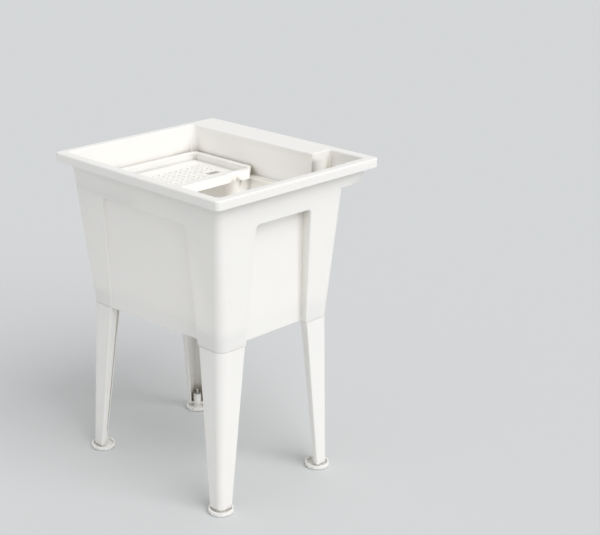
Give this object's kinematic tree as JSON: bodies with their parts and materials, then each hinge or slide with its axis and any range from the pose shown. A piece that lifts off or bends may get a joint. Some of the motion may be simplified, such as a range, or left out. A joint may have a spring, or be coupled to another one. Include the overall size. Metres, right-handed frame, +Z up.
{
  "type": "utility laundry sink",
  "caption": "Free-standing moulded laundry sink: deep tapered bowl with a flat rim, rear deck with soap pocket, sliding perforated tray, channel legs on levelling feet, and drain outlet",
  "frame": {"origin": "on the floor, under the centre of the rim's rectangle", "axes": "+Z up; +X to the right of a person who stands in front of the sink; +Y towards the rear deck"},
  "size_m": [0.635, 0.56, 0.864],
  "materials": {
    "tub_white": "semi-gloss moulded white",
    "tray_white": "semi-gloss moulded white",
    "leg_white": "semi-gloss moulded white",
    "foot_white": "matte moulded white",
    "drain_white": "semi-gloss moulded white",
    "zinc_steel": "zinc-plated",
    "rubber_black": "matte",
    "washer_grey": "matte"
  },
  "bodies": {
    "sink": {"tub": "tub_white", "leg_front_left": "leg_white", "leg_front_right": "leg_white", "leg_back_left": "leg_white", "leg_back_right": "leg_white", "leg_nut_front_left": "zinc_steel", "leg_nut_front_right": "zinc_steel", "leg_nut_back_left": "zinc_steel", "leg_nut_back_right": "zinc_steel", "drain_strainer": "drain_white", "drain_gasket": "rubber_black", "friction_washer": "washer_grey", "drain_locknut": "drain_white", "tailpiece_seal": "rubber_black", "tailpiece": "drain_white", "coupling_nut": "drain_white"},
    "tray": {"perforated_tray": "tray_white"},
    "stopper": {"sink_stopper": "rubber_black"},
    "foot_front_left": {"levelling_foot_front_left": "foot_white", "foot_stud_front_left": "zinc_steel"},
    "foot_front_right": {"levelling_foot_front_right": "foot_white", "foot_stud_front_right": "zinc_steel"},
    "foot_back_left": {"levelling_foot_back_left": "foot_white", "foot_stud_back_left": "zinc_steel"},
    "foot_back_right": {"levelling_foot_back_right": "foot_white", "foot_stud_back_right": "zinc_steel"}
  },
  "joints": [
    {"name": "tray_slide", "type": "slide", "parent": "sink", "child": "tray", "axis": [1, 0, 0], "range_m": [0, 0.29]},
    {"name": "stopper_lift", "type": "slide", "parent": "sink", "child": "stopper", "axis": [0, 0, 1], "range_m": [0, 0.06]},
    {"name": "foot_screw_front_left", "type": "slide", "parent": "sink", "child": "foot_front_left", "axis": [0, 0, -1], "range_m": [0, 0.012]},
    {"name": "foot_screw_front_right", "type": "slide", "parent": "sink", "child": "foot_front_right", "axis": [0, 0, -1], "range_m": [0, 0.012]},
    {"name": "foot_screw_back_left", "type": "slide", "parent": "sink", "child": "foot_back_left", "axis": [0, 0, -1], "range_m": [0, 0.012]},
    {"name": "foot_screw_back_right", "type": "slide", "parent": "sink", "child": "foot_back_right", "axis": [0, 0, -1], "range_m": [0, 0.012]}
  ]
}
